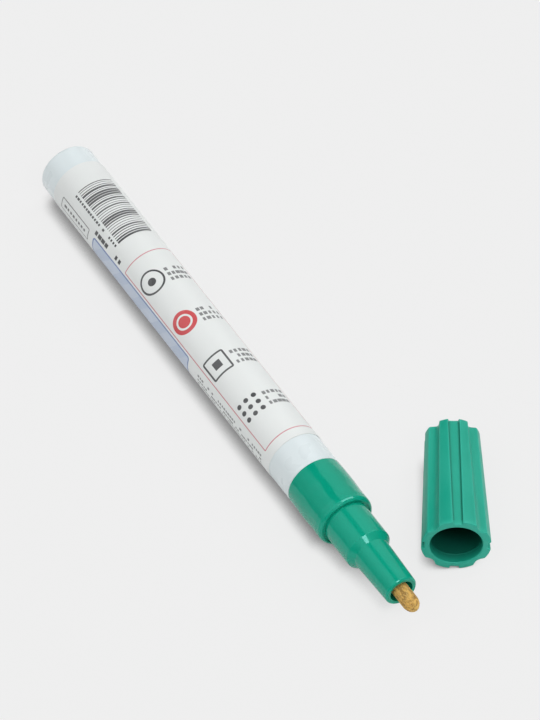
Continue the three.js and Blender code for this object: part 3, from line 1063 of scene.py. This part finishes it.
def makeCap():
    material = greenPlastic("capGreen", capLook, capTurn)
    addPiece(capMesh(material), material, "cap", "cap_green", "cap")


makeCap()
print("cap is done")

# Nib: a bonded fibre rod whose exposed end is matted with short bent fibres
nibSizes = {
    "rear": 112.15,
    "tip": 139.85,
    "core": 1.7,
    "bullet": 2.7,
    "tipRoom": 0.04,
    "exposedFrom": 133.0,
    "lead": 0.3,
    "sunk": 0.06,
    "lumps": 0.07,
    "lumpScale": (2.2, 1.1),
    "rodSteps": 13,
    "bulletSteps": 21,
    "sides": 72,
    "fibresTo": 138.8,
    "fibreLength": 1.5,
    "fibreThickness": 0.16,
    "fibreBend": 0.42,
    "scatter": 30,
    "density": 15.0,
    "seed": 11,
}
nibLook = {
    "colour": (0.74, 0.46, 0.11),
    "pale": (0.92, 0.68, 0.25),
    "deepToneAndShade": (0.34, 0.18, 0.04),
    "roughness": 0.8,
    "clumpScale": 1500.0,
    "strandScale": 5200.0,
    "fibreDepth": 0.00009,
    "sheen": 0.15,
}


def nibMaterial():
    look = nibLook
    material, tree, shader = newMaterial("nibFelt", look)
    vector = squeezed(tree, ownCoordinates(tree, markerTurn), 0.4)
    clumps = grainNoise(tree, vector, look["clumpScale"], 3.0, 0.6)
    strands = grainNoise(tree, vector, look["strandScale"], 3.0, 0.6)
    colour = mixColour(tree, soften(tree, clumps, 0.36, 0.6), look["deepToneAndShade"], look["colour"])
    pale = soften(tree, strands, 0.5, 0.72, 0.0, 0.75)
    height = calc(tree, "MULTIPLY_ADD", strands, 0.5, clumps)
    inputs = {
        "Base Color": mixColour(tree, pale, colour, look["pale"]),
        "Roughness": soften(tree, strands, 0.3, 0.7, 0.72, 0.92),
        "Normal": bumpFrom(tree, height, look["fibreDepth"]),
        "Sheen Weight": look["sheen"],
    }
    fill(tree, shader, inputs)
    return material


def randomBetween(tree, low, high, seed):
    inputs = {2: low, 3: high, "Seed": seed}
    return addNode(tree, "FunctionNodeRandomValue", inputs, data_type="FLOAT").outputs[1]


# One bent fibre: a round section along an arch
def oneFibre(tree, given):
    thick = given["Fibre Thickness"]
    half = times(tree, given["Fibre Length"], 0.5)
    low = times(tree, thick, -0.9)
    inputs = {
        "Resolution": 7,
        "Start": combine(tree, X=times(tree, half, -1.0), Z=low),
        "Middle": combine(tree, Y=given["Bend"], Z=times(tree, thick, 0.9)),
        "End": combine(tree, X=half, Z=low),
    }
    curve = result(tree, "GeometryNodeCurveQuadraticBezier", inputs)
    inputs = {"Resolution": 5, "Radius": times(tree, thick, 0.5)}
    section = result(tree, "GeometryNodeCurvePrimitiveCircle", inputs)
    inputs = {"Curve": curve, "Profile Curve": section, "Fill Caps": True}
    return result(tree, "GeometryNodeCurveToMesh", inputs)


# Scatters short bent fibres over the faces whose "exposed" value is above a half
def mattedFibres(tree, given):
    exposed = addNode(tree, "GeometryNodeInputNamedAttribute", {"Name": "exposed"}, data_type="FLOAT")
    inputs = {
        "Mesh": given["Geometry"],
        "Selection": calc(tree, "GREATER_THAN", exposed.outputs["Attribute"], 0.5),
        "Density": given["Density"],
        "Seed": given["Seed"],
    }
    spread = addNode(tree, "GeometryNodeDistributePointsOnFaces", inputs).outputs
    axes = {"primary_axis": "Z", "secondary_axis": "X"}
    inputs = {"Primary Axis": spread["Normal"], "Secondary Axis": (0, 1, 0)}
    lay = result(tree, "FunctionNodeAxesToRotation", inputs, **axes)
    scatter = given["Scatter Angle"]
    yaw = randomBetween(tree, times(tree, scatter, -1.0), scatter, given["Seed"])
    inputs = {0: lay, 1: combine(tree, Z=yaw)}
    inputs = {
        "Points": spread["Points"],
        "Instance": oneFibre(tree, given),
        "Rotation": result(tree, "FunctionNodeRotateRotation", inputs, rotation_space="LOCAL"),
        "Scale": randomBetween(tree, 0.6, 1.1, 5),
    }
    placed = result(tree, "GeometryNodeInstanceOnPoints", inputs)
    join = addNode(tree, "GeometryNodeJoinGeometry", {0: placed})
    tree.links.new(given["Geometry"], join.inputs[0])
    return finished(tree, given, result(tree, "GeometryNodeRealizeInstances", {0: join.outputs[0]}))


fibreSizes = ("Density", "Fibre Length", "Fibre Thickness", "Bend", "Scatter Angle")
fibreKinds = {"Geometry": "Geometry", **dict.fromkeys(fibreSizes, "Float")}
fibreKinds.update({"Seed": "Int", "Finish": "Material"})
fibreTree = makeGroup("mattedFibres", fibreKinds, mattedFibres, "Geometry")


def makeNib():
    s = nibSizes
    material = nibMaterial()
    bulletRear = s["tip"] - s["bullet"]
    tip = s["tip"] - s["tipRoom"]
    feltFrom = s["exposedFrom"] - s["lead"]
    outline = [(0, s["rear"], 0.0), (s["core"], s["rear"], 0.0)]
    for k in range(s["rodSteps"] + 1):
        outline.append((s["core"], feltFrom + (bulletRear - feltFrom) * k / s["rodSteps"], 0.0))
    for k in range(1, s["bulletSteps"] + 1):
        angle = pi / 2 * k / s["bulletSteps"]
        r = 0 if k == s["bulletSteps"] else s["core"] * cos(angle)
        outline.append((r, bulletRear + (tip - bulletRear) * sin(angle), 0.0))

    def felted(r, place, angle):
        if place < s["exposedFrom"]:
            return 0
        across, along = s["lumpScale"]
        spot = Vector((r * sin(angle) * across, place * along, r * cos(angle) * across))
        return -s["sunk"] + s["lumps"] * noise.noise(spot)

    mesh = turnedMesh("nibCore", outline, Matrix.Identity(4), s["sides"], felted)
    layer = mesh.attributes.new("exposed", "FLOAT", "POINT")
    for vertex, value in zip(mesh.vertices, layer.data):
        value.value = 1.0 if s["exposedFrom"] * mm < vertex.co.y < s["fibresTo"] * mm else 0.0
    values = {
        "Density": s["density"] * 1e6,
        "Fibre Length": s["fibreLength"] * mm,
        "Fibre Thickness": s["fibreThickness"] * mm,
        "Bend": s["fibreBend"] * mm,
        "Scatter Angle": radians(s["scatter"]),
        "Seed": s["seed"],
        "Finish": material,
    }
    made = throughTree("nibRod", mesh, fibreTree, values, markerTurn)
    addPiece(made, material, "nib", "nib_fibre", "nib")


makeNib()
print("nib is done")

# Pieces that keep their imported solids: name of the material, colour, roughness, grain and metal
hiddenLooks = {
    "valve_seat": ("seatRubber", (0.021, 0.021, 0.022), 0.7, 0.000006, 0.0),
    "valve_rod": ("rodPlastic", (0.83, 0.83, 0.78), 0.4, 0.000003, 0.0),
    "valve_case": ("casePlastic", (0.78, 0.76, 0.67), 0.42, 0.000003, 0.0),
    "mixing_ball": ("ballSteel", (0.55, 0.56, 0.58), 0.14, 0.000001, 1.0),
    "cap_liner": ("linerPlastic", (0.003, 0.09, 0.06), 0.45, 0.000004, 0.0),
}


def hiddenMaterial(name, colour, rough, grain, metal):
    look = {"colour": colour, "roughness": rough, "metal": metal}
    material, tree, shader = newMaterial(name, look)
    skin = skinOf(tree, addNode(tree, "ShaderNodeTexCoord").outputs["Object"], 300.0, 6000.0)
    darker = tuple(c * 0.86 for c in colour)
    inputs = {
        "Base Color": mixColour(tree, skin["Tone"], colour, darker),
        "Roughness": soften(tree, skin["Skin"], 0.3, 0.7, rough * 0.85, rough * 1.25),
        "Normal": bumpFrom(tree, skin["Skin"], grain),
    }
    fill(tree, shader, inputs)
    return material


for nodeName, look in hiddenLooks.items():
    nodes[nodeName].data.materials.clear()
    nodes[nodeName].data.materials.append(hiddenMaterial(*look))
print("hidden pieces are dressed")

# Valve spring, a wire coil. Its places are in millimetres in the part's own frame.
springSizes = {
    "rear": 25.788,
    "front": 34.548,
    "fixedEnd": 25.525,
    "wire": 0.25,
    "radius": 2.42,
    "turns": 6.5,
    "steps": 208,
    "wireSides": 12,
    "lift": 1.5,
}
springLook = ("springWire", (0.48, 0.49, 0.52), 0.26, 0.000002, 1.0)


def springMesh():
    s = springSizes
    length = s["front"] - s["rear"]
    rise = length / (s["turns"] * tau)
    points = []
    for i in range(s["steps"] + 1):
        share = i / s["steps"]
        angle = share * s["turns"] * tau
        out = Vector((0, cos(angle), sin(angle)))
        along = Vector((rise, -s["radius"] * out.z, s["radius"] * out.y)).normalized()
        middle = Vector((s["rear"] + share * length, axisY / mm, axisZ / mm)) + out * s["radius"]
        for k in range(s["wireSides"]):
            turn = k * tau / s["wireSides"]
            side = out * cos(turn) + along.cross(out) * sin(turn)
            points.append(middle + side * s["wire"])
    faces = tubeFaces(s["steps"] + 1, s["wireSides"])
    mesh = meshFrom("springCoil", points, faces, [0.0] * len(points), Matrix.Identity(4))
    faceOutwards(mesh)
    return mesh


def makeSpring():
    material = hiddenMaterial(*springLook)
    piece = addPiece(springMesh(), material, "marker", "spring_steel", "valve_spring")
    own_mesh(piece)


makeSpring()
print("spring is done")

# Floor and light
studio = {
    "floor": 0.86,
    "shadowShare": 0.08,
    # Painted contact shadow on the floor's glow: how far it reaches, the occlusion it spans, its darkest
    # tone and its lean
    "contactReach": 0.0052,
    "contactRange": (0.14, 0.75),
    "paintedShadowTone": 0.14,
    "contactLean": (0.4, 0.5, 0.768),
    "floorHalf": 4.0,
    "least": 0.03,
    "low": 0.1,
    "high": 0.57,
    "rise": (0.1, 0.7),
    "panels": (
        {"azimuth": 130, "elevation": 30, "half": (0.42, 0.6), "soft": 0.17, "strength": 0.6},
        {"azimuth": 91, "elevation": 55, "half": (0.1, 0.42), "soft": 0.02, "strength": 6.8},
        {"azimuth": 5.5, "elevation": 49.5, "half": (0.15, 0.12), "soft": 0.02, "strength": 10.5},
        {"azimuth": -60, "elevation": 68, "half": (1.0, 0.6), "soft": 0.3, "strength": 0.76},
        {"azimuth": -115, "elevation": 22, "half": (0.7, 0.35), "soft": 0.2, "strength": 0.3},
    ),
    "gap": {"azimuth": 172, "elevation": 53, "half": (0.14, 0.5), "soft": 0.05, "strength": 1.6},
}


# The floor keeps part of the object's real shadow; the rest is the card's own glow, darkened near the
# object as a painted contact shadow
def addFloor():
    half = studio["floorHalf"]
    corners = [(-half, -half, 0), (half, -half, 0), (half, half, 0), (-half, half, 0)]
    mesh = bpy.data.meshes.new("studioFloor")
    mesh.from_pydata(corners, [], [(0, 1, 2, 3)])
    tone = (studio["floor"],) * 3
    material, tree, shader = newMaterial("floorCard", {"colour": tone, "roughness": 0.9})
    shader.inputs["Specular IOR Level"].default_value = 0.0
    lean = combine(tree, **dict(zip("XYZ", studio["contactLean"])))
    inputs = {"Distance": studio["contactReach"], "Normal": lean}
    near = addNode(tree, "ShaderNodeAmbientOcclusion", inputs).outputs["AO"]
    paintedShadowStrength = soften(tree, near, *studio["contactRange"], studio["paintedShadowTone"], 1.0)
    card = result(tree, "ShaderNodeEmission", {"Color": tone, "Strength": paintedShadowStrength})
    seen = addNode(tree, "ShaderNodeLightPath").outputs["Is Camera Ray"]
    inputs = {0: times(tree, seen, 1 - studio["shadowShare"]), 1: shader.outputs[0], 2: card}
    surface = result(tree, "ShaderNodeMixShader", inputs)
    tree.links.new(surface, tree.nodes["Material Output"].inputs["Surface"])
    mesh.materials.append(material)
    newObject("studioFloor", mesh)


def panelMask(tree, direction, panel):
    azimuth = radians(panel["azimuth"])
    facing = towards(azimuth, radians(panel["elevation"]))
    side = towards(azimuth + pi / 2, 0)

    def measured(axis):
        inputs = {0: direction, 1: axis}
        return addNode(tree, "ShaderNodeVectorMath", inputs, operation="DOT_PRODUCT").outputs[1]

    ahead = measured(facing)
    safe = calc(tree, "MAXIMUM", ahead, 0.01)
    mask = soften(tree, ahead, 0.05, 0.15)
    for axis, half in zip((side, facing.cross(side)), panel["half"]):
        away = calc(tree, "ABSOLUTE", calc(tree, "DIVIDE", measured(axis), safe))
        edge = soften(tree, away, half - panel["soft"], half + panel["soft"], 1.0, 0.0)
        mask = times(tree, mask, edge)
    return mask


def addLight():
    world = bpy.data.worlds.new("studioWorld")
    world.use_nodes = True
    tree = world.node_tree
    tree.nodes.clear()
    direction = addNode(tree, "ShaderNodeTexCoord").outputs["Generated"]
    height = addNode(tree, "ShaderNodeSeparateXYZ", {0: direction}).outputs["Z"]
    level = soften(tree, height, *studio["rise"], studio["low"], studio["high"])
    for panel in studio["panels"]:
        mask = panelMask(tree, direction, panel)
        level = calc(tree, "MULTIPLY_ADD", mask, panel["strength"], level)
    gap = times(tree, panelMask(tree, direction, studio["gap"]), studio["gap"]["strength"])
    level = calc(tree, "MAXIMUM", minus(tree, level, gap), studio["least"])
    inputs = {
        0: addNode(tree, "ShaderNodeLightPath").outputs["Is Camera Ray"],
        1: result(tree, "ShaderNodeBackground", {"Strength": level}),
        2: result(tree, "ShaderNodeBackground", {"Color": (studio["floor"],) * 3}),
    }
    mixed = result(tree, "ShaderNodeMixShader", inputs)
    addNode(tree, "ShaderNodeOutputWorld", {0: mixed})
    bpy.context.scene.world = world


addFloor()
addLight()
bpy.context.scene.view_settings.view_transform = "Standard"
print("studio is lit")
